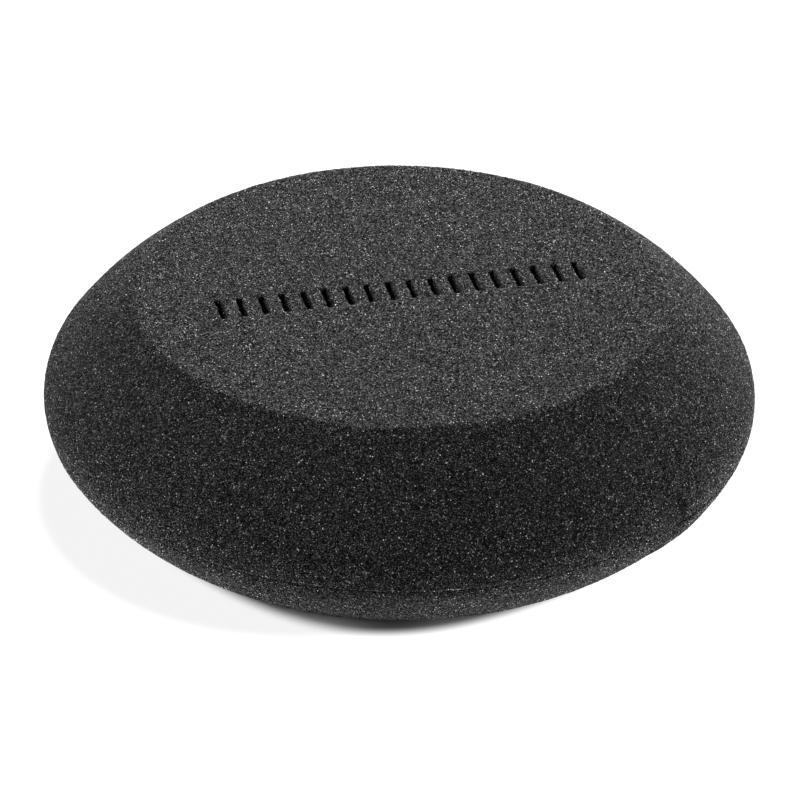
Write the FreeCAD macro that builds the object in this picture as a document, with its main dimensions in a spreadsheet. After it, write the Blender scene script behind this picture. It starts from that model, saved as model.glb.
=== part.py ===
"""Hand polishing pad: a saucer of two foams bonded face to face, with a row of cut marks on top.

Millimetres. The origin is the centre of the base face, which rests on the paint, and +Z is the pad's
own axis, pointing up to the hand. The row of marks crosses the top face, turned a little from +X.
"""

import FreeCAD, Part
import math
import os

import Sketcher

DIMENSIONS = {
    # the outside of the whole pad
    "outer_radius": 65.0,
    "pad_height": 35.4,
    "top_face_radius": 48.0,
    "base_radius": 53.8,
    "nose_radius": 10.1,  # the round of the widest part of the rim
    "nose_height": 15.4,  # the height of that round's centre
    "flank_radius": 61.0,  # the slow bow of the side above the nose
    "underside_radius": 38.5,  # the slow bow of the side below the nose
    "top_edge_round": 1.2,
    "base_edge_round": 2.0,
    # the layers, from the base up
    "working_thickness": 13.3,
    "film_thickness": 0.25,
    "film_recess": 0.6,  # how far the film stops short of the outside
    # the row of cut marks, each a pair of bars that lie across the row
    "mark_count": 9,
    "mark_pitch": 7.8,
    "mark_length": 6.6,
    "mark_depth": 1.5,
    "bar_width": 1.25,
    "bar_spacing": 3.8,  # between the two bars of a mark
    "row_turn": 13.7,  # degrees from +X to the row
    "row_shift": 0.7,  # from the pad's axis to the row's own middle line
}

FIRST, LAST, CENTRE = 1, 2, 3  # the points of a sketched line or arc
ORIGIN = (-1, 1)  # a sketch's own origin point
THROUGH_ALL = 1  # the type of a pocket that cuts to the end

doc = FreeCAD.newDocument("polishing_pad")


def add_sheet(values):
    """The spreadsheet that drives every sketch and feature."""
    sheet = doc.addObject("Spreadsheet::Sheet", "dims")
    for row, (alias, value) in enumerate(values.items(), start=1):
        sheet.set(f"A{row}", alias)
        sheet.set(f"B{row}", str(value))
        sheet.setAlias(f"B{row}", alias)
    doc.recompute()


def add_body(name):
    body = doc.addObject("PartDesign::Body", name)
    body.Label = name
    body.Placement = FreeCAD.Placement()
    return body


def add_sketch(body, name, role, lift="0"):
    """A sketch on the body's origin plane with that role, lifted off it by the expression lift."""
    plane = next(f for f in body.Origin.OriginFeatures if f.Role == role)
    sketch = body.newObject("Sketcher::SketchObject", f"{body.Name}_{name}")
    sketch.AttachmentSupport = [(plane, "")]
    sketch.MapMode = "FlatFace"
    sketch.setExpression("AttachmentOffset.Base.z", lift)
    return sketch


def add_feature(body, kind, name, profile):
    feature = body.newObject(f"PartDesign::{kind}", f"{body.Name}_{name}")
    feature.Profile = profile
    return feature


def drive(sketch, name, expression, kind, *where):
    """Adds a dimension of that kind to the sketch and binds it to the sheet."""
    value = float(sketch.evalExpression(expression))
    index = sketch.addConstraint(Sketcher.Constraint(kind, *where, value))
    sketch.renameConstraint(index, name)
    sketch.setExpression(f"Constraints.{name}", expression)


def tie(sketch, *rules):
    """Adds constraints that have no dimension, each given as its kind and what it ties."""
    sketch.addConstraint([Sketcher.Constraint(*rule) for rule in rules])


def spot(x, y):
    """A point on a sketch."""
    return FreeCAD.Vector(x, y, 0)


def arc(centre, first, last):
    """The arc about centre that runs anticlockwise from first to last."""
    circle = Part.Circle(centre, FreeCAD.Vector(0, 0, 1), (first - centre).Length)
    angles = [math.atan2(end.y - centre.y, end.x - centre.x) for end in (first, last)]
    return Part.ArcOfCircle(circle, *angles)


def bow_centre(corner, bow, nose, nose_radius, side):
    """Centre of the arc of radius bow that starts at corner and runs smoothly into the nose.

    It lies bow away from the corner and bow - nose_radius away from the nose's centre. Two points do:
    side is 1 for the one to the left of the way from the corner to the nose, and -1 for the other.
    """
    way = nose - corner
    gap = way.Length
    ahead = (bow**2 - (bow - nose_radius) ** 2 + gap**2) / (2 * gap)
    aside = side * math.sqrt(bow**2 - ahead**2)
    way = way / gap
    return corner + way * ahead + spot(-way.y, way.x) * aside


def smooth_join(bow_middle, nose, nose_radius):
    """Where the bow about bow_middle runs into the nose."""
    outward = nose - bow_middle
    return nose + outward / outward.Length * nose_radius


def draw_outline(sketch):
    """Half the pad's outline, closed along its axis: base, underside, nose, flank and top."""
    size = DIMENSIONS
    axis_foot = spot(0, 0)
    axis_head = spot(0, size["pad_height"])
    base_corner = spot(size["base_radius"], 0)
    top_corner = spot(size["top_face_radius"], size["pad_height"])
    nose_radius = size["nose_radius"]
    nose_centre = spot(size["outer_radius"] - nose_radius, size["nose_height"])
    under_centre = bow_centre(base_corner, size["underside_radius"], nose_centre, nose_radius, 1)
    flank_centre = bow_centre(top_corner, size["flank_radius"], nose_centre, nose_radius, -1)
    nose_foot = smooth_join(under_centre, nose_centre, nose_radius)
    nose_head = smooth_join(flank_centre, nose_centre, nose_radius)

    pieces = [
        Part.LineSegment(axis_foot, base_corner),
        arc(under_centre, base_corner, nose_foot),
        arc(nose_centre, nose_foot, nose_head),
        arc(flank_centre, nose_head, top_corner),
        Part.LineSegment(top_corner, axis_head),
        Part.LineSegment(axis_head, axis_foot),
    ]
    base, underside, nose, flank, top, axis = sketch.addGeometry(pieces, False)
    tie(
        sketch,
        ("Coincident", base, FIRST, *ORIGIN),
        ("Horizontal", base),
        ("Coincident", base, LAST, underside, FIRST),
        ("Tangent", underside, LAST, nose, FIRST),
        ("Tangent", nose, LAST, flank, FIRST),
        ("Coincident", flank, LAST, top, FIRST),
        ("Horizontal", top),
        ("Coincident", top, LAST, axis, FIRST),
        ("Vertical", axis),
        ("Coincident", axis, LAST, base, FIRST),
    )
    nose_reach = "dims.outer_radius - dims.nose_radius"
    drive(sketch, "nose_reach", nose_reach, "DistanceX", *ORIGIN, nose, CENTRE)
    drive(sketch, "nose_level", "dims.nose_height", "DistanceY", *ORIGIN, nose, CENTRE)
    drive(sketch, "nose_round", "dims.nose_radius", "Radius", nose)
    drive(sketch, "flank_bow", "dims.flank_radius", "Radius", flank)
    drive(sketch, "underside_bow", "dims.underside_radius", "Radius", underside)
    drive(sketch, "base_reach", "dims.base_radius", "DistanceX", base, FIRST, base, LAST)
    drive(sketch, "top_reach", "dims.top_face_radius", "DistanceX", top, LAST, top, FIRST)
    drive(sketch, "full_height", "dims.pad_height", "DistanceY", axis, LAST, axis, FIRST)


def turn_saucer(body):
    """The whole pad's outside as one solid, for a layer to be cut from."""
    outline = add_sketch(body, "outline", "XZ_Plane")
    draw_outline(outline)
    saucer = add_feature(body, "Revolution", "saucer", outline)
    saucer.ReferenceAxis = (outline, ["V_Axis"])
    saucer.Angle = 360
    doc.recompute()


def draw_circle(sketch, radius):
    """A circle about the sketch's origin, whose radius is an expression."""
    value = float(sketch.evalExpression(radius))
    ring = sketch.addGeometry(Part.Circle(spot(0, 0), FreeCAD.Vector(0, 0, 1), value), False)
    tie(sketch, ("Coincident", ring, CENTRE, *ORIGIN))
    drive(sketch, "ring_radius", radius, "Radius", ring)


def cut_at(body, level, upward):
    """Cuts the body away above or below the height that the expression level gives."""
    whole = body.Shape.Volume
    circle = add_sketch(body, "cut_circle", "XY_Plane", level)
    draw_circle(circle, "dims.outer_radius * 1.2")
    cut = add_feature(body, "Pocket", "layer_cut", circle)
    cut.Type = THROUGH_ALL
    cut.Reversed = upward
    doc.recompute()
    if not 0 < body.Shape.Volume < whole * 0.9:
        raise RuntimeError(f"{body.Label}: the layer cut took nothing or everything")


def round_edge(body, radius, height, amount):
    """Rounds the circular edge with that radius and height by the expression amount."""
    last = body.Tip
    numbers = [
        number
        for number, edge in enumerate(last.Shape.Edges, start=1)
        if all(
            math.isclose(math.hypot(end.X, end.Y), radius, abs_tol=0.01)
            and math.isclose(end.Z, height, abs_tol=0.01)
            for end in edge.Vertexes
        )
    ]
    if len(numbers) != 1:
        raise RuntimeError(f"{body.Label}: {len(numbers)} edges match where one is to be rounded")
    fillet = body.newObject("PartDesign::Fillet", f"{body.Name}_round")
    fillet.Base = (last, [f"Edge{numbers[0]}"])
    fillet.setExpression("Radius", amount)
    doc.recompute()


def draw_bar(sketch, name, place):
    """One bar across the row, with its middle at the expression place along the row."""
    size = DIMENSIONS
    middle = float(sketch.evalExpression(place))
    half_width = size["bar_width"] / 2
    foot = -size["mark_length"] / 2 - size["row_shift"]
    head = foot + size["mark_length"]
    corners = [
        spot(middle - half_width, foot),
        spot(middle + half_width, foot),
        spot(middle + half_width, head),
        spot(middle - half_width, head),
    ]
    sides = [Part.LineSegment(a, b) for a, b in zip(corners, corners[1:] + corners[:1])]
    near, right, far, left = sketch.addGeometry(sides, False)
    tie(
        sketch,
        ("Coincident", near, LAST, right, FIRST),
        ("Coincident", right, LAST, far, FIRST),
        ("Coincident", far, LAST, left, FIRST),
        ("Coincident", left, LAST, near, FIRST),
        ("Horizontal", near),
        ("Horizontal", far),
        ("Vertical", left),
        ("Vertical", right),
    )
    # a mark lies well left of the row's middle, so both distances to the origin are positive
    corner_reach = f"dims.bar_width / 2 - ({place})"
    corner_drop = "dims.mark_length / 2 + dims.row_shift"
    drive(sketch, f"{name}_reach", corner_reach, "DistanceX", near, FIRST, *ORIGIN)
    drive(sketch, f"{name}_foot", corner_drop, "DistanceY", near, FIRST, *ORIGIN)
    drive(sketch, f"{name}_width", "dims.bar_width", "DistanceX", near, FIRST, near, LAST)
    drive(sketch, f"{name}_length", "dims.mark_length", "DistanceY", near, LAST, right, LAST)


def cut_marks(body):
    """The row of marks across the top face, patterned from the first one."""
    plain = body.Shape.Volume
    mark = add_sketch(body, "first_mark", "XY_Plane", "dims.pad_height")
    mark.setExpression("AttachmentOffset.Rotation.Angle", "dims.row_turn")
    row_start = "-dims.mark_pitch * (dims.mark_count - 1) / 2"
    draw_bar(mark, "back_bar", f"{row_start} - dims.bar_spacing / 2")
    draw_bar(mark, "front_bar", f"{row_start} + dims.bar_spacing / 2")

    cut = add_feature(body, "Pocket", "mark_cut", mark)
    cut.setExpression("Length", "dims.mark_depth")
    doc.recompute()
    first_cut = plain - body.Shape.Volume

    row = body.newObject("PartDesign::LinearPattern", f"{body.Name}_mark_row")
    row.Originals = [cut]
    row.Direction = (mark, ["H_Axis"])
    row.setExpression("Length", "dims.mark_pitch * (dims.mark_count - 1)")
    row.setExpression("Occurrences", "dims.mark_count")
    body.Tip = row
    doc.recompute()
    all_cuts = plain - body.Shape.Volume
    if first_cut <= 0 or not math.isclose(all_cuts, first_cut * DIMENSIONS["mark_count"], rel_tol=0.01):
        raise RuntimeError("the row of marks isn't complete")


def make_working_foam():
    """The layer that polishes: from the flat base up to the bond."""
    body = add_body("working_foam")
    turn_saucer(body)
    cut_at(body, "dims.working_thickness", upward=True)
    round_edge(body, DIMENSIONS["base_radius"], 0, "dims.base_edge_round")
    return body


def make_bond_film():
    """The hot-melt disc between the foams, a little smaller than the pad at that height."""
    body = add_body("bond_film")
    drop = "(dims.nose_height - dims.working_thickness)"
    rim = f"dims.outer_radius - dims.nose_radius + sqrt(dims.nose_radius ^ 2 - {drop} ^ 2)"
    disc = add_sketch(body, "disc", "XY_Plane", "dims.working_thickness")
    draw_circle(disc, f"{rim} - dims.film_recess")
    film = add_feature(body, "Pad", "film", disc)
    film.setExpression("Length", "dims.film_thickness")
    doc.recompute()
    return body


def make_grip_foam():
    """The layer that the hand holds: from the bond up to the top face, with its row of marks."""
    body = add_body("grip_foam")
    turn_saucer(body)
    cut_at(body, "dims.working_thickness + dims.film_thickness", upward=False)
    round_edge(body, DIMENSIONS["top_face_radius"], DIMENSIONS["pad_height"], "dims.top_edge_round")
    cut_marks(body)
    return body


def check_document(bodies):
    """Stops before anything is written if a feature failed, a sketch is loose or a body isn't one solid."""
    for item in doc.Objects:
        if {"Invalid", "Error"} & set(item.State):
            raise RuntimeError(f"{item.Name} failed: {item.State}")
        if item.TypeId == "Sketcher::SketchObject" and not item.FullyConstrained:
            raise RuntimeError(f"{item.Name} isn't fully constrained")
    for body in bodies:
        shape = body.Shape
        if shape.isNull() or not shape.isValid() or len(shape.Solids) != 1:
            raise RuntimeError(f"{body.Label} isn't one valid solid")


add_sheet(DIMENSIONS)
layers = [make_working_foam(), make_bond_film(), make_grip_foam()]
doc.recompute()
check_document(layers)

os.makedirs("parts", exist_ok=True)
for layer in layers:
    layer.Shape.exportStep(f"parts/{layer.Label}.step")
    print(layer.Label, round(layer.Shape.Volume / 1000, 2), "cm3")
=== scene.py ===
"""The looks of the hand polishing pad: two foams and the film between them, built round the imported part."""

import math

import bpy
import numpy as np
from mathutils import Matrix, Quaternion, Vector, noise
from mathutils.geometry import delaunay_2d_cdt


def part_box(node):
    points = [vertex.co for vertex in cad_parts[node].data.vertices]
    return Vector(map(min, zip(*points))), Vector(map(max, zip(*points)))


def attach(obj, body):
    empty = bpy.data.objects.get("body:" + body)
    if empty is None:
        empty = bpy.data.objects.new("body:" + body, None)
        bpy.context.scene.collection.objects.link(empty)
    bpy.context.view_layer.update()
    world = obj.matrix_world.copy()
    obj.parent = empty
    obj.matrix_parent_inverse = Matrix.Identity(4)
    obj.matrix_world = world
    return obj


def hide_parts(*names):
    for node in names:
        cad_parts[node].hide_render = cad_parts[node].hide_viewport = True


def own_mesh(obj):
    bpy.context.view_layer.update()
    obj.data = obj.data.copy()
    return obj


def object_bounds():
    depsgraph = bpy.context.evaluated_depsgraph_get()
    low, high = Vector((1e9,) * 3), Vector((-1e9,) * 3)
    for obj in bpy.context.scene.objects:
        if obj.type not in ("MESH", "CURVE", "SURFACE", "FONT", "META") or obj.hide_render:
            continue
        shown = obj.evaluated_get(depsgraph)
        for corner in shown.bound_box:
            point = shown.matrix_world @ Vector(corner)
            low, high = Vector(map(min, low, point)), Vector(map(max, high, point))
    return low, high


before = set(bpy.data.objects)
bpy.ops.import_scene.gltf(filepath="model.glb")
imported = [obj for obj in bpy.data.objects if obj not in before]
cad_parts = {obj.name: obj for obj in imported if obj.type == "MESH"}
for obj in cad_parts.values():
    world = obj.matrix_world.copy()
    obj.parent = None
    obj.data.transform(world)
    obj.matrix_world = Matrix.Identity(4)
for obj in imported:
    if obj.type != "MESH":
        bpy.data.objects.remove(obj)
cad_low, cad_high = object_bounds()

MM = 0.001
TURN = 2 * math.pi

# How fine the skins are.
GRAIN_STEP = 0.5 * MM  # distance between neighbouring points of a visible foam skin
ROW_STEP = GRAIN_STEP * math.sqrt(3) / 2  # distance between the rows of points, for even triangles
COARSE_STEP = 4 * MM  # the same distance in the middle of a hidden bond face
MARK_STEP = 0.26 * MM  # distance between the points round a cut mark
MARK_CLEARANCE = 0.3 * MM  # free space that the points of the top leave round a mark's edge
WALL_LEVELS = 4  # rows of faces down the wall of a mark
POINT_JITTER = 0.16  # how far the points of a flat face stray, in grain steps
RIM_CLEARANCE = 0.7  # free space between them and the face's rim, in grain steps
RING_TURN = 0.37  # turn of each ring of a bond face, in its own steps, so that the rings don't line up
LEAST_COLUMNS = 6  # fewest points on such a ring
COARSENING = 1.4  # growth of the step from one ring of a bond face to the next
INNERMOST = 1.5  # a ring this small or smaller, in coarse steps, has no other ring inside it
MERGE_DISTANCE = 1e-6  # points of a flat face would be joined if they lay this close, in millimetres

# How the CAD meshes are read.
NEAR_RING = 0.01 * MM  # points of a CAD mesh this close in height are on one ring
SIDE_SHARE = 0.99  # a CAD point is on the side if it is further out than this share of the smaller rim
INSIDE_SHARE = 0.9  # the cut marks lie within this share of the top's radius
OFF_FACES = 0.1 * MM  # a point there is on a mark's floor if it is this far from both flat faces

# The foam's surface.
GRAIN_HEIGHT = 0.035 * MM  # usual height of the grain above or below the smooth surface
PIT_SHARE = 0.1  # share of the points that lie in an open cell
PIT_DEPTH = 0.13 * MM
PIT_SPREAD = (0.4, 1.4)  # the shallowest and the deepest, against that depth
SWELL_HEIGHT = 0.05 * MM  # slow unevenness of the cut
SWELL_LENGTH = 7 * MM
MARK_RAGGEDNESS = 0.055 * MM  # how far the edge of a cut mark strays
MARK_WALL_ROUGHNESS = 1.3  # how rough the foam is in a mark, against the skin
MARK_FLOOR_ROUGHNESS = 1.6

# The bond line, where both foams' edges bulge over the film's recessed edge.
LIP_WIDTH = 0.8 * MM
LIP_GAP = 0.03 * MM
LIP_ROUGHNESS = 0.3  # how rough the foam is at the lip, against the skin
# Painted shade on the lips at the bond line, dimming the bright line that their bent normals would catch.
LIP_SHADE = 0.75
FILM_CLEARANCE = 0.01 * MM
FILM_RAGGEDNESS = 0.12 * MM
FILM_RECESS = 1.5  # how far the film's edge stays back, in raggednesses
FILM_WAVES = range(7, 60, 4)  # numbers of waves that make up its uneven edge
FILM_WAVE_SIZE = (0.3, 1)  # least and most height of a wave, against its length
FILM_RIM = 8  # width of the ring inside its edge that has no points, in thicknesses
FILM_COLUMNS = 360
FILM_BEAD = [(-1.2, 0), (-0.4, 0.06), (0, 0.5), (-0.4, 0.94), (-1.2, 1)]  # out and up, in thicknesses

# A crease that runs down the rim, faint above and deeper across the widest part, and a nick at its foot, both
# darkened with painted shade.
CREASE_ANGLE = math.radians(-42)
CREASE_WANDER = math.radians(0.9)
CREASE_WAVE = 20 * MM  # height over which it wanders to and fro once
CREASE_JITTER = 0.2  # quicker wandering, against the slow one
CREASE_WIDTH = 0.55 * MM
CREASE_DEPTH = 0.2 * MM
# Painted shade along the crease, at its darkest.
CREASE_SHADE = 0.5
CREASE_SHADE_WIDTH = 1.8  # width of its painted shade, against its own
CREASE_BLOTCH = 2.6 * MM  # length over which it comes and goes
CREASE_FAINT = 0.3  # its strength above
CREASE_FULL = 1.1  # its strength across the widest part
CREASE_MOST = 1.2  # the most that chance makes of it
CREASE_DEEPENS = (14 * MM, 25 * MM)  # heights between which it goes from full to faint
NICK_ANGLE = math.radians(-45)
NICK_HEIGHT = 9 * MM
NICK_REACH = 0.955  # its distance from the axis, as a share of the pad's radius
NICK_RADIUS = 1.7 * MM
NICK_EDGE = 1.2  # where it runs out, in radii from its middle
NICK_DEPTH = 0.45 * MM
NICK_TEARS = (0.3, 1.3)  # its shallowest and deepest points, against that depth
# Painted shade in the nick.
NICK_SHADE = 0.5
LEVEL_NORMAL = 0.97  # upright part of a normal from which a face is level, and bears no wear
RIM_START = 0.7  # share of the pad's radius from which its sides can bear wear

# The low swelling beside the crease, where the rim has been pinched.
SWOLLEN_ANGLE = math.radians(-37.5)
SWOLLEN_REACH = math.radians(6.5)
SWOLLEN_HEIGHT = 11 * MM
SWOLLEN_SPREAD = 8 * MM
SWOLLEN_RISE = 0.42 * MM

# Seeds of the chance that strews points, grain and slow noise.
GRIP_POINTS_SEED = 11
WORKING_POINTS_SEED = 12
FILM_SEED = 13
GRIP_GRAIN_SEED = 21
WORKING_GRAIN_SEED = 22
SWELL_SEED = 22
BLOTCH_SEED = 5
SEED_SHIFT = (13.7, 7.1, 3.3)  # how far the noise of one seed lies from that of the next

# The foams' materials.
CELL = 0.20  # width of a foam cell, in millimetres
GRAIN_CONTRAST = 0.53  # how far cells differ in tone, as the power of their odds
ALMOST_CERTAIN = 1.0001  # a little over 1, so that no cell's odds are endless
BRIGHTEST_CELL = 25.0  # the most that a cell with a painted glint throws back, against the usual cell
CELL_TONE = 2.7  # tone at the middle of the usual cell, a painted highlight
CELL_REACH = 0.7  # distance from the middle at which its painted highlight has faded, in cells
PORE_TONE = 0.1  # tone of the pores round the cells, painted shade
CELL_TILT = 0.5  # how far cells differ in height, against the depth of a pore
PATCHES = 0.35  # slow patches of tone, per millimetre
PATCH_DETAIL = 3.0  # how many finer noises are added to them
PATCH_CONTRAST = 0.08
BUBBLE_SPACING = 8.0  # between the few larger bubbles that were cut open, in millimetres
BUBBLE = 0.5  # their greatest radius, in millimetres
BUBBLE_FLOOR = 0.4  # share of a bubble's radius that is evenly dark
# Painted shade in a cut-open bubble, which has no hollow in the mesh.
BUBBLE_SHADE = 0.3
BUMP_STRENGTH = 0.7
BUMP_HEIGHT = 0.05 * MM
NOISE_SPAN = (0.3, 0.7)  # where nearly all values of a noise texture lie
FOAM_ROUGHNESS = 1.0
FOAM_SPECULAR = 0.0
FOAM_SHEEN = 0.15
SHEEN_ROUGHNESS = 0.5
GRIP_TONE = 0.02
WORKING_TONE = 0.021
MARK_SHADE = 0.6  # the cut marks are darker than the skin

# The film's material: a sprayed web of threads on a cloudy, dark base.
FILM_TONE = 0.02
FILM_ROUGHNESS = (0.3, 0.5)
WEB = 0.9  # threads of the web, per millimetre
THREAD_WIDTH = 0.12  # in distances between threads
THREAD_TONE = 0.01
THREAD_HEIGHT = 0.03 * MM
THREAD_BUMP = 0.5
CLOUDS = 0.2  # per millimetre
CLOUD_DETAIL = 4.0
CLOUD_CONTRAST = 0.3

# The floor: a white table, lit from below, most of all round the pad. The camera sees it only in the shadow
# under the rim, deepened at the front with painted shade, and behind the pad, and sees plain white elsewhere,
# with a wide, faint shadow painted on it. Distances are in metres from the axis.
FLOOR_SIZE = 8.0
FLOOR_ALBEDO = 0.85
FLOOR_ALBEDO_BEYOND = 0.05
FLOOR_REACH = (0.24, 0.30)  # between these the table turns dark, so that it throws back no more light
FLOOR_GLOW = 0.26
GLOW_START = (0.054, 0.062)  # between these the glow grows
GLOW_END = (0.062, 0.15)  # and between these it fades again
GLOW_SIDE = math.radians(-45)  # where the glow is strongest
GLOW_SHARPNESS = 6  # the greater, the narrower the side, here and below
GLOW_GAIN = 2.1  # how much it gains there
TABLE_WHITE = 1.2  # what the camera sees of the table and of all that lies beyond it
CONTACT_SIDE = math.radians(-95)  # where the shadow under the rim reaches furthest out
CONTACT_REACH = (0.0533, 0.0580)  # how far it reaches, elsewhere and there
CONTACT_SHARPNESS = 10
CONTACT_EDGE = 0.002  # half the width of its blurred edge
DARKEST_SIDE = math.radians(-91)  # where painted shade makes it darkest
DARKEST_SHARPNESS = 60
DARKEST_SHARE = 0.72  # how much light the painted shade takes from it there, for the camera only
BEHIND_SHIFT = 0.0265  # towards the middle of the floor that the pad hides, seen from the front
BEHIND_EDGE = (0.058, 0.067)  # between these distances from that middle it gives way to the white
SOFT_SHADOW_SIDE = math.radians(-148)  # towards the middle of the wide, faint painted shadow
SOFT_SHADOW_SHIFT = 0.022
SOFT_SHADOW_EDGE = (0.0455, 0.0505)  # between these distances from its middle it ends
SOFT_SHADOW_TONE = 0.9

# Soft discs of light: name, direction from +X towards +Y and height in degrees, and power in watts.
LIGHT_DISTANCE = 1.3
LIGHT_WIDTH = 0.8
LIGHTS = [
    ("back_light", 90, 15, 6.5),
    ("back_right_light", 60, 15, 11.0),
    ("right_back_light", 30, 15, 6.9),
    ("right_light", 0, 40, 6.8),
    ("front_right_light", 330, 15, 7.5),
    ("left_high_light", 180, 40, 10.4),
    ("left_low_light", 180, 15, 9.6),
]

# The view: a camera in front of the pad and above it, with a long lens.
CAMERA_LENS = 155.25
CAMERA_DISTANCE = 635.3 * MM
CAMERA_ELEVATION = math.radians(31.33)
CAMERA_ROLL = math.radians(0.59)
CAMERA_SIDE_SHIFT = 0.12 * MM
CAMERA_AIM_HEIGHT = 11.74 * MM


# ---------------------------------------------------------------- reading the CAD meshes


def cad_mesh(node):
    """Points and triangles of a CAD node, as arrays."""
    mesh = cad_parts[node].data
    points = np.empty(3 * len(mesh.vertices), np.float32)
    mesh.vertices.foreach_get("co", points)
    mesh.calc_loop_triangles()
    triangles = np.empty(3 * len(mesh.loop_triangles), np.int32)
    mesh.loop_triangles.foreach_get("vertices", triangles)
    return points.reshape(-1, 3).astype(float), triangles.reshape(-1, 3)


def cad_side(node):
    """The curved side of a turned CAD node as rows of radius and height, from its lower rim upwards."""
    points, _ = cad_mesh(node)
    radius = np.hypot(points[:, 0], points[:, 1])
    low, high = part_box(node)
    at_ends = [radius[np.abs(points[:, 2] - end) < NEAR_RING].max() for end in (low.z, high.z)]
    outside = radius > SIDE_SHARE * min(at_ends)
    heights = np.round(points[outside, 2] / MM, 3) * MM
    levels = np.unique(heights)
    side = [(radius[outside][heights == level].max(), level) for level in levels]
    kept = side[:1]
    for point in side[1:]:
        if math.dist(point, kept[-1]) > 2 * NEAR_RING:
            kept.append(point)
    return np.array(kept)


def smooth_rows(side, step):
    """Evenly spaced points on the smooth curve through the points of a side, made of cubic pieces."""
    chords = np.linalg.norm(np.diff(side, axis=0), axis=1)
    slopes = np.diff(side, axis=0) / chords[:, None]
    before, after = chords[:-1, None], chords[1:, None]
    inner = (slopes[:-1] * after + slopes[1:] * before) / (before + after)
    tangents = np.vstack([slopes[:1], inner, slopes[-1:]])
    starts = np.concatenate([[0], np.cumsum(chords)])
    wanted = np.linspace(0, starts[-1], round(starts[-1] / step) + 1)
    piece = np.clip(np.searchsorted(starts, wanted, side="right") - 1, 0, len(chords) - 1)
    share = ((wanted - starts[piece]) / chords[piece])[:, None]
    length = chords[piece][:, None]
    return (
        side[piece] * (1 + 2 * share) * (1 - share) ** 2
        + side[piece + 1] * share**2 * (3 - 2 * share)
        + tangents[piece] * length * share * (1 - share) ** 2
        - tangents[piece + 1] * length * share**2 * (1 - share)
    )


def islands(triangles):
    """Sets of the points that triangles join to each other."""
    found = []
    for triangle in triangles:
        joined = set(triangle.tolist())
        apart = []
        for island in found:
            if joined & island:
                joined |= island
            else:
                apart.append(island)
        found = apart + [joined]
    return found


def mark_outlines():
    """The outline of each cut mark, anticlockwise from above, and the height of the marks' floors."""
    points, triangles = cad_mesh("grip_foam")
    low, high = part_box("grip_foam")
    inside = np.hypot(points[:, 0], points[:, 1]) < INSIDE_SHARE * cad_side("grip_foam")[-1][0]
    # Inside the top's rim, only the marks' floors lie between the bond face and the top.
    floor_points = inside & (points[:, 2] > low.z + OFF_FACES) & (points[:, 2] < high.z - OFF_FACES)
    floor_height = float(points[floor_points, 2].mean())
    outlines = []
    for island in islands(triangles[floor_points[triangles].all(1)]):
        corners = points[sorted(island), :2]
        spokes = corners - corners.mean(0)
        outlines.append(corners[np.argsort(np.arctan2(spokes[:, 1], spokes[:, 0]))])
    outlines.sort(key=lambda outline: outline.mean(0)[0])
    return outlines, floor_height


# ---------------------------------------------------------------- building skins


class Skin:
    """Points and triangles of one piece, gathered patch by patch."""

    def __init__(self):
        self.points = []
        self.triangles = []
        self.roughness = []
        self.shade = []
        self.count = 0

    def add_points(self, points, roughness=1.0, shade=1.0):
        """Adds points with how rough and how light the foam is there, and returns their numbers."""
        numbers = np.arange(self.count, self.count + len(points))
        self.points.append(np.asarray(points, float))
        self.roughness.append(np.full(len(points), roughness))
        self.shade.append(np.full(len(points), shade))
        self.count += len(points)
        return numbers

    def add_triangles(self, first, second, third):
        """Adds a triangle for each row of three point numbers, anticlockwise from outside."""
        self.triangles.append(np.stack([first, second, third], axis=1))

    def arrays(self):
        """All points, roughnesses, shades and triangles."""
        joined = (self.points, self.roughness, self.shade, self.triangles)
        return [np.concatenate(part) for part in joined]


def on_circle(radius, height, columns, turned=0.0):
    """Evenly spaced points on a level circle."""
    angles = (np.arange(columns) + turned) * TURN / columns
    return np.stack([radius * np.cos(angles), radius * np.sin(angles), np.full(columns, height)], axis=1)


def add_side(skin, rows, bond):
    """Turns rows of radius and height about the pad's axis, and returns the lowest and the highest ring.

    Every other ring is turned by half a step, so that the triangles are even. The row numbered bond is the
    lip at the bond line, which is smoother than the rest and darkened with painted shade.
    """
    rings = []
    for number, (radius, height) in enumerate(rows):
        ring = on_circle(radius, height, skin_columns(), 0.5 * (number % 2))
        if number == bond:
            rings.append(skin.add_points(ring, LIP_ROUGHNESS, LIP_SHADE))
        else:
            rings.append(skin.add_points(ring))
    for number, (lower, upper) in enumerate(zip(rings, rings[1:])):
        next_lower, next_upper = np.roll(lower, -1), np.roll(upper, -1)
        if number % 2 == 0:
            skin.add_triangles(lower, next_lower, upper)
            skin.add_triangles(upper, next_lower, next_upper)
        else:
            skin.add_triangles(lower, next_upper, upper)
            skin.add_triangles(lower, next_lower, next_upper)
    return rings[0], rings[-1]


def triangulate(points, outlines=()):
    """Triangles between points in a plane, anticlockwise, and for each whether it lies inside an outline."""
    flat = [Vector(point) for point in np.asarray(points) / MM]
    loops = [list(map(int, outline)) for outline in outlines]
    # It is asked for all triangles (0), and for which given points and loops they come from (True).
    _, _, triangles, given, _, within = delaunay_2d_cdt(flat, [], loops, 0, MERGE_DISTANCE, True)
    numbers = np.array([found[0] for found in given])
    inside = np.array([bool(found) for found in within])
    return numbers[np.array(triangles)], inside


def even_points(rim_radius, rng):
    """Slightly uneven points that fill a disc at the grain's step, clear of its rim."""
    span = int(rim_radius / ROW_STEP) + 2
    row, column = np.mgrid[-span : span + 1, -span : span + 1]
    x = (column + 0.5 * (row % 2)) * GRAIN_STEP
    y = row * ROW_STEP
    points = np.stack([x.ravel(), y.ravel()], axis=1)
    points += rng.uniform(-POINT_JITTER, POINT_JITTER, points.shape) * GRAIN_STEP
    return points[np.hypot(points[:, 0], points[:, 1]) < rim_radius - RIM_CLEARANCE * GRAIN_STEP]


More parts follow.
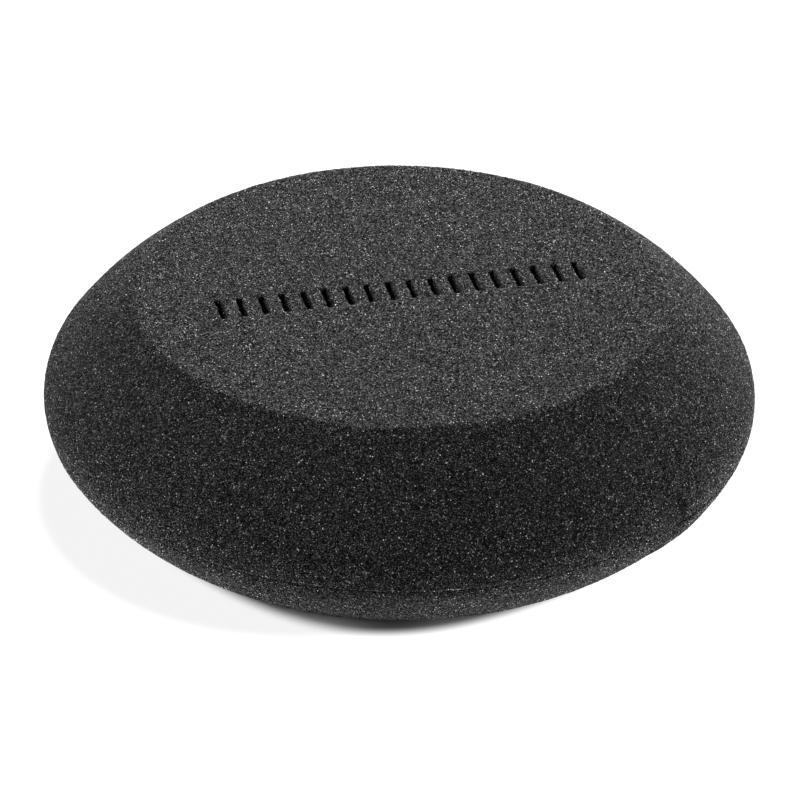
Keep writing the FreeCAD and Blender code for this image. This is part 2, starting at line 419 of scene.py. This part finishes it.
def graded_points(rim_radius):
    """Points that fill a disc, close together at its rim and further apart inside it."""
    rings = [np.zeros((1, 2))]
    step = GRAIN_STEP
    radius = rim_radius
    while radius > INNERMOST * COARSE_STEP:
        step = min(COARSENING * step, COARSE_STEP)
        radius -= step
        columns = max(LEAST_COLUMNS, round(TURN * radius / step))
        rings.append(on_circle(radius, 0, columns, RING_TURN)[:, :2])
    return np.vstack(rings)


def add_plain_disc(skin, ring, inner, height, up, roughness):
    """Closes a ring of the skin with a level disc that faces up or down."""
    rim = np.vstack(skin.points)[ring, :2]
    added = skin.add_points(np.column_stack([inner, np.full(len(inner), height)]), roughness)
    triangles, _ = triangulate(np.vstack([rim, inner]))
    numbers = np.concatenate([ring, added])[triangles]
    skin.add_triangles(*(numbers.T if up else numbers[:, ::-1].T))


def even_outline(outline, rng):
    """A closed outline with evenly spaced points that stray a little, as the foam tears in cells."""
    closed = np.vstack([outline, outline[:1]])
    starts = np.concatenate([[0], np.cumsum(np.linalg.norm(np.diff(closed, axis=0), axis=1))])
    wanted = np.linspace(0, starts[-1], round(starts[-1] / MARK_STEP), endpoint=False)
    even = np.stack([np.interp(wanted, starts, closed[:, axis]) for axis in (0, 1)], axis=1)
    along = np.roll(even, -1, axis=0) - np.roll(even, 1, axis=0)
    outward = np.stack([along[:, 1], -along[:, 0]], axis=1) / np.linalg.norm(along, axis=1)[:, None]
    return even + outward * rng.normal(0, MARK_RAGGEDNESS, (len(even), 1))


def clear_of(points, outlines):
    """Which points keep the marks' clearance from every outline."""
    clear = np.ones(len(points), bool)
    for outline in outlines:
        # Only points that lie near the outline's box are measured one by one.
        near = (np.abs(points - outline.mean(0)) < np.ptp(outline, axis=0) + MM).all(1)
        apart = np.linalg.norm(points[near][:, None] - outline[None], axis=2).min(axis=1)
        clear[near] = apart > MARK_CLEARANCE
    return clear


def add_marked_top(skin, ring, height, rng):
    """Closes the top with a disc that has the cut marks sunk in it, with their own walls and floors."""
    cad_outlines, floor_height = mark_outlines()
    outlines = [even_outline(outline, rng) for outline in cad_outlines]
    rim = np.vstack(skin.points)[ring, :2]
    inner = even_points(np.hypot(*rim[0]), rng)
    inner = inner[clear_of(inner, outlines)]
    flat = np.vstack([rim, inner] + outlines)
    first = len(rim) + len(inner)
    loops = []
    for outline in outlines:
        loops.append(np.arange(first, first + len(outline)))
        first += len(outline)
    triangles, inside = triangulate(flat, loops)
    added = skin.add_points(np.column_stack([flat[len(rim) :], np.full(len(flat) - len(rim), height)]))
    on_top = np.concatenate([ring, added])
    skin.add_triangles(*on_top[triangles[~inside]].T)
    sunk = np.unique(triangles[inside])
    floor_points = np.column_stack([flat[sunk], np.full(len(sunk), floor_height)])
    floor = skin.add_points(floor_points, MARK_FLOOR_ROUGHNESS, MARK_SHADE)
    on_floor = np.zeros(len(flat), int)
    on_floor[sunk] = floor
    skin.add_triangles(*on_floor[triangles[inside]].T)
    for loop in loops:
        add_mark_wall(skin, flat[loop], on_top[loop], on_floor[loop], height, floor_height)


def add_mark_wall(skin, outline, top, bottom, height, floor_height):
    """The wall of one mark, between its edge and the edge of its floor."""
    upper = top
    for level in range(1, WALL_LEVELS + 1):
        down = height + (floor_height - height) * level / WALL_LEVELS
        if level < WALL_LEVELS:
            shade = 1 + (MARK_SHADE - 1) * level / WALL_LEVELS
            ring = np.column_stack([outline, np.full(len(outline), down)])
            lower = skin.add_points(ring, MARK_WALL_ROUGHNESS, shade)
        else:
            lower = bottom
        next_upper, next_lower = np.roll(upper, -1), np.roll(lower, -1)
        skin.add_triangles(upper, next_upper, next_lower)
        skin.add_triangles(upper, next_lower, lower)
        upper = lower


# ---------------------------------------------------------------- the foam's surface


def slow_noise(points, length, seed):
    """Smooth noise from about -1 to 1 at each point, that changes over the given length."""
    offset = Vector([seed * shift for shift in SEED_SHIFT])
    return np.array([noise.noise(Vector(point) / length + offset) for point in points])


def roughen(points, normals, weight, rng):
    """Points moved to the foam's grain, open cells and slow unevenness."""
    grain = rng.normal(0, GRAIN_HEIGHT, points.shape)
    pits = (rng.random(len(points)) < PIT_SHARE) * rng.uniform(*PIT_SPREAD, len(points)) * PIT_DEPTH
    swell = slow_noise(points, SWELL_LENGTH, SWELL_SEED) * SWELL_HEIGHT
    return points + weight[:, None] * (grain + normals * (swell - pits)[:, None])


def crease(points, normals, rng):
    """How far each point sinks in the crease and the nick or rises beside them, and the painted shade along
    them.
    """
    radius = np.hypot(points[:, 0], points[:, 1])
    angle = np.arctan2(points[:, 1], points[:, 0])
    height = points[:, 2]
    on_side = (np.abs(normals[:, 2]) < LEVEL_NORMAL) & (radius > RIM_START * cad_high.x)
    deep = 1 - np.clip((height - CREASE_DEEPENS[0]) / (CREASE_DEEPENS[1] - CREASE_DEEPENS[0]), 0, 1)
    wave = np.cos(TURN * (cad_high.z - height) / CREASE_WAVE) + CREASE_JITTER * np.sin(height / MM)
    path = CREASE_ANGLE + CREASE_WANDER * wave
    across = radius * (angle - path) / (CREASE_WIDTH * (1 + deep))
    strength = CREASE_FAINT + (CREASE_FULL - CREASE_FAINT) * deep
    blotches = np.clip(strength + slow_noise(points, CREASE_BLOTCH, BLOTCH_SEED), 0, CREASE_MOST)
    groove = np.exp(-(across**2)) * blotches * on_side
    # Painted shade along the crease, wider than its groove.
    painted_shade = np.exp(-((across / CREASE_SHADE_WIDTH) ** 2)) * blotches * on_side
    reach = NICK_REACH * cad_high.x
    centre = np.array([reach * math.cos(NICK_ANGLE), reach * math.sin(NICK_ANGLE), NICK_HEIGHT])
    away = np.linalg.norm(points - centre, axis=1) / NICK_RADIUS
    torn = np.clip(NICK_EDGE - away, 0, 1) * rng.uniform(*NICK_TEARS, len(points)) * on_side
    beside = (angle - SWOLLEN_ANGLE) / SWOLLEN_REACH
    above = (height - SWOLLEN_HEIGHT) / SWOLLEN_SPREAD
    swollen = np.exp(-(beside**2) - above**2) * on_side
    depth = CREASE_DEPTH * groove + NICK_DEPTH * torn - SWOLLEN_RISE * swollen
    return depth, (1 - CREASE_SHADE * painted_shade) * (1 - NICK_SHADE * np.clip(torn, 0, 1))


def foam_piece(name, skin, seed):
    """A mesh object of a foam skin with its rough surface, and the attributes that its material reads."""
    points, weight, shade, triangles = skin.arrays()
    mesh = bpy.data.meshes.new(name)
    mesh.from_pydata(points.tolist(), [], triangles.tolist())
    mesh.update()
    normals = np.empty(3 * len(points), np.float32)
    mesh.vertex_normals.foreach_get("vector", normals)
    normals = normals.reshape(-1, 3)
    rng = np.random.default_rng(seed)
    sunk, painted_shade = crease(points, normals, rng)
    rough = roughen(points, normals, weight, rng)
    rough -= normals * (sunk * np.minimum(weight, 1))[:, None]
    low, high = points[:, 2].min(), points[:, 2].max()
    rough[:, 2] = np.clip(rough[:, 2], low, high)
    mesh.vertices.foreach_set("co", rough.ravel())
    mesh.polygons.foreach_set("use_smooth", [True] * len(mesh.polygons))
    # The painted shade of the crease and the nick joins the shade that the material reads.
    add_attribute(mesh, "shade", "FLOAT", "value", shade * painted_shade)
    add_attribute(mesh, "rest_mm", "FLOAT_VECTOR", "vector", rough / MM)
    mesh.update()
    return add_object(name, mesh)


def add_attribute(mesh, name, kind, field, values):
    """Stores values on the mesh's points under a name."""
    attribute = mesh.attributes.new(name, kind, "POINT")
    attribute.data.foreach_set(field, np.asarray(values, np.float32).ravel())


def add_object(name, data):
    """A new object in the scene."""
    made = bpy.data.objects.new(name, data)
    bpy.context.scene.collection.objects.link(made)
    return made


# ---------------------------------------------------------------- the three pieces


def skin_columns():
    """Number of points round the pad at the grain's step."""
    return 2 * round(math.pi * cad_high.x / GRAIN_STEP)


def lip_rows(rows, edge, toward):
    """Rows whose end at the bond bulges toward the other foam, so that only a hair's gap is left."""
    film_low, film_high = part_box("bond_film")
    reach = (film_high.z - film_low.z - LIP_GAP) / 2
    rows = rows.copy()
    near = np.clip(1 - np.abs(rows[:, 1] - rows[edge, 1]) / LIP_WIDTH, 0, 1)
    rows[:, 1] += toward * reach * near
    return rows


def build_grip_foam():
    """The upper foam: its rim, its flat top with the cut marks, and its bond face."""
    rows = lip_rows(smooth_rows(cad_side("grip_foam"), ROW_STEP), edge=0, toward=-1)
    low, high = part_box("grip_foam")
    rng = np.random.default_rng(GRIP_POINTS_SEED)
    skin = Skin()
    bottom, top = add_side(skin, rows, bond=0)
    inner_edge = rows[0, 0] - LIP_WIDTH
    lip = skin.add_points(on_circle(inner_edge, low.z, skin_columns(), 0.5), roughness=0)
    skin.add_triangles(lip, np.roll(bottom, -1), bottom)
    skin.add_triangles(lip, np.roll(lip, -1), np.roll(bottom, -1))
    add_plain_disc(skin, lip, graded_points(inner_edge), low.z, up=False, roughness=0)
    add_marked_top(skin, top, high.z, rng)
    return foam_piece("grip_foam_skin", skin, GRIP_GRAIN_SEED)


def build_working_foam():
    """The lower foam: its rim, the flat working face under it and its bond face."""
    rows = lip_rows(smooth_rows(cad_side("working_foam"), ROW_STEP), edge=-1, toward=1)
    low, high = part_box("working_foam")
    rng = np.random.default_rng(WORKING_POINTS_SEED)
    skin = Skin()
    bottom, top = add_side(skin, rows, bond=len(rows) - 1)
    inner_edge = rows[-1, 0] - LIP_WIDTH
    turned = 0.5 * ((len(rows) - 1) % 2)
    lip = skin.add_points(on_circle(inner_edge, high.z, skin_columns(), turned), roughness=0)
    skin.add_triangles(top, np.roll(top, -1), np.roll(lip, -1))
    skin.add_triangles(top, np.roll(lip, -1), lip)
    add_plain_disc(skin, lip, graded_points(inner_edge), high.z, up=True, roughness=0)
    add_plain_disc(skin, bottom, even_points(rows[0, 0], rng), low.z, up=False, roughness=1)
    return foam_piece("working_foam_skin", skin, WORKING_GRAIN_SEED)


def build_bond_film():
    """The thin film of glue that holds the foams together: a disc with a beaded, slightly uneven edge."""
    low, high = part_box("bond_film")
    radius = high.x
    bottom, top = low.z + FILM_CLEARANCE, high.z - FILM_CLEARANCE
    thickness = top - bottom
    angles = np.arange(FILM_COLUMNS) * TURN / FILM_COLUMNS
    rng = np.random.default_rng(FILM_SEED)
    waves = sum(
        rng.uniform(*FILM_WAVE_SIZE) / count * np.sin(count * angles + rng.uniform(0, TURN))
        for count in FILM_WAVES
    )
    edge = radius - FILM_RAGGEDNESS * (FILM_RECESS + waves / np.abs(waves).max())
    skin = Skin()
    rings = []
    for outward, share in FILM_BEAD:
        reach = edge + outward * thickness
        height = np.full(FILM_COLUMNS, bottom + share * thickness)
        rings.append(skin.add_points(np.stack([reach * np.cos(angles), reach * np.sin(angles), height], 1)))
    for lower, upper in zip(rings, rings[1:]):
        skin.add_triangles(lower, np.roll(lower, -1), np.roll(upper, -1))
        skin.add_triangles(lower, np.roll(upper, -1), upper)
    inner = graded_points(radius - FILM_RIM * thickness)
    add_plain_disc(skin, rings[0], inner, bottom, up=False, roughness=0)
    add_plain_disc(skin, rings[-1], inner, top, up=True, roughness=0)
    points, _, _, triangles = skin.arrays()
    mesh = bpy.data.meshes.new("bond_film_sheet")
    mesh.from_pydata(points.tolist(), [], triangles.tolist())
    mesh.polygons.foreach_set("use_smooth", [True] * len(mesh.polygons))
    add_attribute(mesh, "rest_mm", "FLOAT_VECTOR", "vector", points / MM)
    mesh.update()
    return add_object("bond_film_sheet", mesh)


# ---------------------------------------------------------------- materials


class Nodes:
    """Adds shader nodes to one material and links them."""

    def __init__(self, name):
        self.material = bpy.data.materials.new(name)
        self.material.use_nodes = True
        self.tree = self.material.node_tree
        self.tree.nodes.clear()

    def add(self, kind, inputs, **settings):
        """A node of a kind, with its inputs fed by values or by other nodes' outputs."""
        node = self.tree.nodes.new("ShaderNode" + kind)
        for setting, value in settings.items():
            setattr(node, setting, value)
        for key, value in inputs.items():
            if isinstance(value, bpy.types.NodeSocket):
                self.tree.links.new(value, node.inputs[key])
            else:
                node.inputs[key].default_value = value
        return node

    def math(self, operation, first, second=0.0):
        """The output of a maths node."""
        return self.add("Math", {0: first, 1: second}, operation=operation).outputs[0]

    def product(self, first, *others):
        """The product of several values."""
        for other in others:
            first = self.math("MULTIPLY", first, other)
        return first

    def vector(self, operation, first, output, second=(0, 0, 0)):
        """An output of a vector maths node."""
        return self.add("VectorMath", {0: first, 1: second}, operation=operation).outputs[output]

    def ramp(self, value, start, end, low, high):
        """A value taken smoothly from one range to another."""
        inputs = {"Value": value, "From Min": start, "From Max": end, "To Min": low, "To Max": high}
        return self.add("MapRange", inputs, interpolation_type="SMOOTHSTEP").outputs["Result"]

    def grey(self, value):
        """A neutral colour of the given brightness."""
        return self.add("CombineColor", {"Red": value, "Green": value, "Blue": value}).outputs["Color"]

    def attribute(self, name, output):
        """What the mesh stores under a name."""
        return self.add("Attribute", {}, attribute_name=name).outputs[output]

    def finish(self, shader):
        """Ends the material with a surface shader and returns it."""
        self.add("OutputMaterial", {"Surface": shader.outputs[0]})
        return self.material


def foam_material(name, tone):
    """Fine open-cell foam, its grain painted in the colour and the sheen: cells differ in tone by chance,
    with painted glints at their middles and painted shade in the pores.
    """
    nodes = Nodes(name)
    place = nodes.attribute("rest_mm", "Vector")
    cells = nodes.add("TexVoronoi", {"Vector": place, "Scale": 1 / CELL})
    chance = nodes.add("SeparateColor", {"Color": cells.outputs["Color"]})
    against = nodes.math("SUBTRACT", ALMOST_CERTAIN, chance.outputs["Red"])
    odds = nodes.math("DIVIDE", chance.outputs["Red"], against)
    light = nodes.math("MINIMUM", nodes.math("POWER", odds, GRAIN_CONTRAST), BRIGHTEST_CELL)
    # Painted highlight at each cell's middle, fading to painted shade in the pores.
    middle = nodes.ramp(cells.outputs["Distance"], 0.0, CELL_REACH, CELL_TONE, 0.0)
    grain = nodes.math("ADD", nodes.product(light, middle), PORE_TONE)
    patches = nodes.add("TexNoise", {"Vector": place, "Scale": PATCHES, "Detail": PATCH_DETAIL})
    uneven = nodes.ramp(patches.outputs[0], *NOISE_SPAN, 1 - PATCH_CONTRAST, 1 + PATCH_CONTRAST)
    # Painted shade in the few larger bubbles that were cut open.
    bubbles = nodes.add("TexVoronoi", {"Vector": place, "Scale": 1 / BUBBLE_SPACING})
    rim = BUBBLE / BUBBLE_SPACING
    bubble_shade = nodes.ramp(bubbles.outputs["Distance"], BUBBLE_FLOOR * rim, rim, BUBBLE_SHADE, 1.0)
    shade = nodes.product(uneven, bubble_shade, nodes.attribute("shade", "Fac"))
    catch = nodes.product(grain, shade)
    tilt = nodes.product(chance.outputs["Blue"], CELL_TILT)
    relief = nodes.math("ADD", cells.outputs["Distance"], tilt)
    bump = nodes.add("Bump", {"Height": relief, "Strength": BUMP_STRENGTH, "Distance": BUMP_HEIGHT})
    shader = nodes.add(
        "BsdfPrincipled",
        {
            "Base Color": nodes.grey(nodes.product(catch, tone)),
            "Roughness": FOAM_ROUGHNESS,
            "Specular IOR Level": FOAM_SPECULAR,
            "Sheen Weight": nodes.product(catch, FOAM_SHEEN),
            "Sheen Roughness": SHEEN_ROUGHNESS,
            "Normal": bump.outputs[0],
        },
    )
    return nodes.finish(shader)


def film_material():
    """Hot-melt film: dark and smooth, with a faint web from the spray it was laid down with."""
    nodes = Nodes("hot_melt_film")
    place = nodes.attribute("rest_mm", "Vector")
    web = nodes.add("TexVoronoi", {"Vector": place, "Scale": WEB}, feature="DISTANCE_TO_EDGE")
    threads = nodes.ramp(web.outputs["Distance"], 0.0, THREAD_WIDTH, 1.0, 0.0)
    clouds = nodes.add("TexNoise", {"Vector": place, "Scale": CLOUDS, "Detail": CLOUD_DETAIL})
    cloudy = nodes.ramp(clouds.outputs[0], *NOISE_SPAN, 1 - CLOUD_CONTRAST, 1 + CLOUD_CONTRAST)
    tone = nodes.product(cloudy, FILM_TONE)
    value = nodes.math("ADD", tone, nodes.product(threads, THREAD_TONE))
    bump = nodes.add("Bump", {"Height": threads, "Strength": THREAD_BUMP, "Distance": THREAD_HEIGHT})
    shader = nodes.add(
        "BsdfPrincipled",
        {
            "Base Color": nodes.grey(value),
            "Roughness": nodes.ramp(clouds.outputs[0], *NOISE_SPAN, *FILM_ROUGHNESS),
            "Normal": bump.outputs[0],
        },
    )
    return nodes.finish(shader)


# ---------------------------------------------------------------- floor, light and camera


def level_direction(angle):
    """The level unit vector at an angle from +X towards +Y."""
    return Vector((math.cos(angle), math.sin(angle), 0))


def lobe(nodes, place, side, sharpness):
    """How directly a place on the floor lies on one side of the pad, from 0 to 1."""
    outward = nodes.vector("NORMALIZE", place, "Vector")
    toward = nodes.vector("DOT_PRODUCT", outward, "Value", level_direction(side))
    return nodes.math("POWER", nodes.math("MAXIMUM", toward, 0.0), sharpness)


def lit_table(nodes, place, away):
    """The shader of the white table top, which takes the pad's shadow and glows a little round it."""
    albedo = nodes.ramp(away, *FLOOR_REACH, FLOOR_ALBEDO, FLOOR_ALBEDO_BEYOND)
    lit = nodes.add("BsdfDiffuse", {"Color": nodes.grey(albedo)})
    gain = nodes.product(lobe(nodes, place, GLOW_SIDE, GLOW_SHARPNESS), GLOW_GAIN)
    strength = nodes.product(nodes.math("ADD", gain, 1.0), FLOOR_GLOW)
    near = nodes.product(strength, nodes.ramp(away, *GLOW_START, 0, 1), nodes.ramp(away, *GLOW_END, 1, 0))
    glow = nodes.add("Emission", {"Strength": near})
    return nodes.add("AddShader", {0: lit.outputs[0], 1: glow.outputs[0]})


def seen_white(nodes, place):
    """The shader of the plain white that the camera sees, with the wide, faint shadow painted into it."""
    middle = level_direction(SOFT_SHADOW_SIDE) * SOFT_SHADOW_SHIFT
    from_middle = nodes.vector("DISTANCE", place, "Value", middle)
    tone = nodes.ramp(from_middle, *SOFT_SHADOW_EDGE, SOFT_SHADOW_TONE, TABLE_WHITE)
    return nodes.add("Emission", {"Strength": tone})


def beyond_shadows(nodes, place, away):
    """1 on the floor that the camera sees as plain white, and 0 under the rim and behind the pad."""
    least, most = CONTACT_REACH
    swell = nodes.product(lobe(nodes, place, CONTACT_SIDE, CONTACT_SHARPNESS), most - least)
    reach = nodes.math("ADD", swell, least)
    outside = nodes.ramp(nodes.math("SUBTRACT", away, reach), -CONTACT_EDGE, CONTACT_EDGE, 0, 1)
    from_behind = nodes.vector("DISTANCE", place, "Value", Vector((0, BEHIND_SHIFT, 0)))
    return nodes.product(outside, nodes.ramp(from_behind, *BEHIND_EDGE, 0, 1))


def add_floor():
    """The table top on which the pad stands."""
    nodes = Nodes("floor_white")
    place = nodes.add("NewGeometry", {}).outputs["Position"]
    away = nodes.vector("LENGTH", place, "Value")
    camera_ray = nodes.add("LightPath", {}).outputs["Is Camera Ray"]
    # Painted shade, for the camera only, that deepens the shadow under the front of the rim.
    darkest = lobe(nodes, place, DARKEST_SIDE, DARKEST_SHARPNESS)
    dimmed = nodes.product(darkest, DARKEST_SHARE, camera_ray)
    table = nodes.add("MixShader", {0: dimmed, 1: lit_table(nodes, place, away).outputs[0]})
    whiten = nodes.product(beyond_shadows(nodes, place, away), camera_ray)
    white = seen_white(nodes, place)
    both = nodes.add("MixShader", {0: whiten, 1: table.outputs[0], 2: white.outputs[0]})
    half = FLOOR_SIZE / 2
    corners = [(-half, -half, 0), (half, -half, 0), (half, half, 0), (-half, half, 0)]
    mesh = bpy.data.meshes.new("floor")
    mesh.from_pydata(corners, [], [(0, 1, 2, 3)])
    mesh.materials.append(nodes.finish(both))
    add_object("floor", mesh)


def add_lights():
    """Large soft discs of light round the back and the sides, all turned towards the pad."""
    for name, turn, rise, power in LIGHTS:
        light = bpy.data.lights.new(name, "AREA")
        light.shape = "DISK"
        light.size = LIGHT_WIDTH
        light.energy = power
        lamp = add_object(name, light)
        slope = math.radians(rise)
        away = level_direction(math.radians(turn)) * math.cos(slope) + Vector((0, 0, math.sin(slope)))
        lamp.location = away * LIGHT_DISTANCE
        lamp.rotation_mode = "QUATERNION"
        lamp.rotation_quaternion = away.to_track_quat("Z", "Y")
        lamp.visible_camera = False


def add_world():
    """The same white beyond the table, for the camera only, so that it throws no light on the pad."""
    world = bpy.data.worlds.new("studio")
    world.use_nodes = True
    tree = world.node_tree
    tree.nodes.clear()
    seen = tree.nodes.new("ShaderNodeLightPath")
    strength = tree.nodes.new("ShaderNodeMapRange")
    strength.inputs["To Max"].default_value = TABLE_WHITE
    background = tree.nodes.new("ShaderNodeBackground")
    background.inputs["Color"].default_value = (1, 1, 1, 1)
    output = tree.nodes.new("ShaderNodeOutputWorld")
    tree.links.new(seen.outputs["Is Camera Ray"], strength.inputs["Value"])
    tree.links.new(strength.outputs["Result"], background.inputs["Strength"])
    tree.links.new(background.outputs[0], output.inputs[0])
    bpy.context.scene.world = world


def add_camera():
    """A long lens from the front, looking down on the pad."""
    data = bpy.data.cameras.new("camera")
    data.lens = CAMERA_LENS
    data.clip_start = 0.01
    data.clip_end = 100
    camera = add_object("camera", data)
    back = Vector((0, -math.cos(CAMERA_ELEVATION), math.sin(CAMERA_ELEVATION)))
    camera.location = Vector((CAMERA_SIDE_SHIFT, 0, CAMERA_AIM_HEIGHT)) + back * CAMERA_DISTANCE
    camera.rotation_mode = "QUATERNION"
    upright = back.to_track_quat("Z", "Y")
    camera.rotation_quaternion = upright @ Quaternion((0, 0, 1), CAMERA_ROLL)
    bpy.context.scene.camera = camera


# ---------------------------------------------------------------- the pad in its frame


def put_in_frame(piece, node, body):
    """Puts a piece in the frame in place of its CAD node, to flatten with the press of the pad."""
    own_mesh(piece)
    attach(piece, body)
    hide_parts(node)


grip = build_grip_foam()
grip.data.materials.append(foam_material("grip_foam_black", GRIP_TONE))
put_in_frame(grip, "grip_foam", "grip_layer")

film = build_bond_film()
film.data.materials.append(film_material())
put_in_frame(film, "bond_film", "grip_layer")

working = build_working_foam()
working.data.materials.append(foam_material("working_foam_black", WORKING_TONE))
put_in_frame(working, "working_foam", "working_layer")

add_floor()
add_lights()
add_world()
add_camera()
bpy.context.scene.view_settings.view_transform = "Standard"
